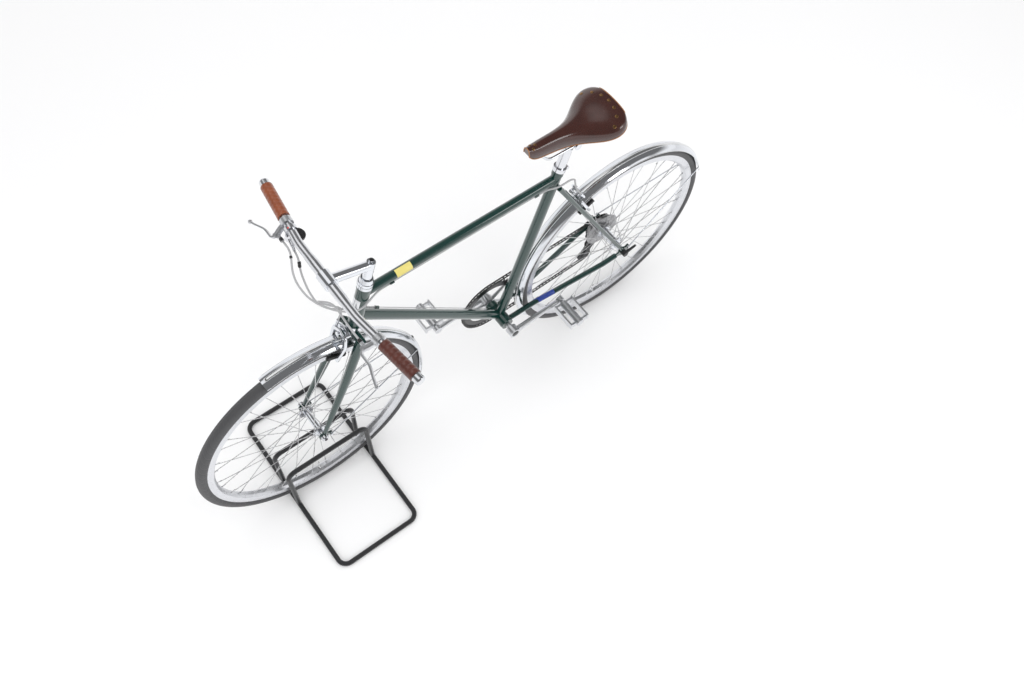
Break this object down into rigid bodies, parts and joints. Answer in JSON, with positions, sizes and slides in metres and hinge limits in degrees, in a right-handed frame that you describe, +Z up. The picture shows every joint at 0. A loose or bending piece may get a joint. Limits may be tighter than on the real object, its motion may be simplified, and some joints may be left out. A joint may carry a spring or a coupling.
{
  "type": "city bicycle in a floor stand",
  "caption": "City bicycle with a level top tube, mudguards, derailleur gears and rim brakes, parked with its front wheel in a wire floor stand.",
  "frame": {"origin": "on the floor, midway along the overall length, on the centre plane of the frame", "axes": "+X the way the bicycle travels, +Y to the rider's left, +Z up"},
  "size_m": [1.7209, 0.6582, 1.0004],
  "materials": {
    "frame_paint": "gloss",
    "bright_metal": "polished",
    "satin_metal": "satin",
    "spoke_wire": "satin",
    "tyre_rubber": "matt",
    "leather_brown": "polished",
    "pad_rubber": "matt",
    "black_plastic": "satin",
    "housing_grey": "gloss",
    "chain_steel": "oiled",
    "stand_black": "satin",
    "ring_black": "satin"
  },
  "bodies": {
    "front_end": {"fork": "frame_paint", "headset_top": "bright_metal", "stem": "bright_metal", "handlebar": "satin_metal", "handlebar_grips": "leather_brown", "brake_levers": "bright_metal", "gear_shifter": "satin_metal", "front_brake": "bright_metal", "front_brake_pads": "pad_rubber", "front_mudguard": "bright_metal", "front_axle": "satin_metal", "wheel_stand": "stand_black", "front_brake_cable": "housing_grey", "handlebar_cables": "housing_grey"},
    "front_wheel": {"front_tyre": "tyre_rubber", "front_rim": "satin_metal", "front_spokes": "spoke_wire", "front_hub": "bright_metal"},
    "frame": {"head_tube": "frame_paint", "top_tube": "frame_paint", "down_tube": "frame_paint", "seat_tube": "frame_paint", "bracket_shell": "frame_paint", "chain_stays": "frame_paint", "seat_stays": "frame_paint", "headset_cups": "bright_metal", "seat_post": "satin_metal", "saddle_rails": "bright_metal", "saddle": "leather_brown", "rear_brake": "bright_metal", "rear_brake_pads": "pad_rubber", "rear_mudguard": "bright_metal", "rear_axle": "bright_metal", "rear_derailleur": "black_plastic", "chain": "chain_steel", "frame_cables": "housing_grey"},
    "rear_wheel": {"rear_tyre": "tyre_rubber", "rear_rim": "satin_metal", "rear_spokes": "spoke_wire", "rear_hub": "bright_metal", "cassette": "chain_steel"},
    "cranks": {"cranks": "satin_metal", "chainring": "ring_black"},
    "left_pedal": {"left_pedal": "satin_metal"},
    "right_pedal": {"right_pedal": "satin_metal"}
  },
  "joints": [
    {"name": "steering", "type": "hinge", "parent": "front_end", "child": "frame", "pos_m": [0.3254, 0, 0.75325], "axis": [-0.3173, 0, 0.9483], "range_deg": [-70, 70], "deforming": ["handlebar_cables"]},
    {"name": "front_wheel_spin", "type": "hinge", "parent": "front_end", "child": "front_wheel", "pos_m": [0.5175, 0, 0.343], "axis": [0, 1, 0], "continuous": true},
    {"name": "rear_wheel_spin", "type": "hinge", "parent": "frame", "child": "rear_wheel", "pos_m": [-0.5175, 0, 0.343], "axis": [0, 1, 0], "continuous": true},
    {"name": "crank_spin", "type": "hinge", "parent": "frame", "child": "cranks", "pos_m": [-0.11004, 0, 0.282], "axis": [0, 1, 0], "continuous": true},
    {"name": "left_pedal_spin", "type": "hinge", "parent": "cranks", "child": "left_pedal", "pos_m": [-0.27929, 0.118, 0.298], "axis": [0, 1, 0], "continuous": true},
    {"name": "right_pedal_spin", "type": "hinge", "parent": "cranks", "child": "right_pedal", "pos_m": [0.05921, -0.118, 0.266], "axis": [0, 1, 0], "continuous": true}
  ]
}
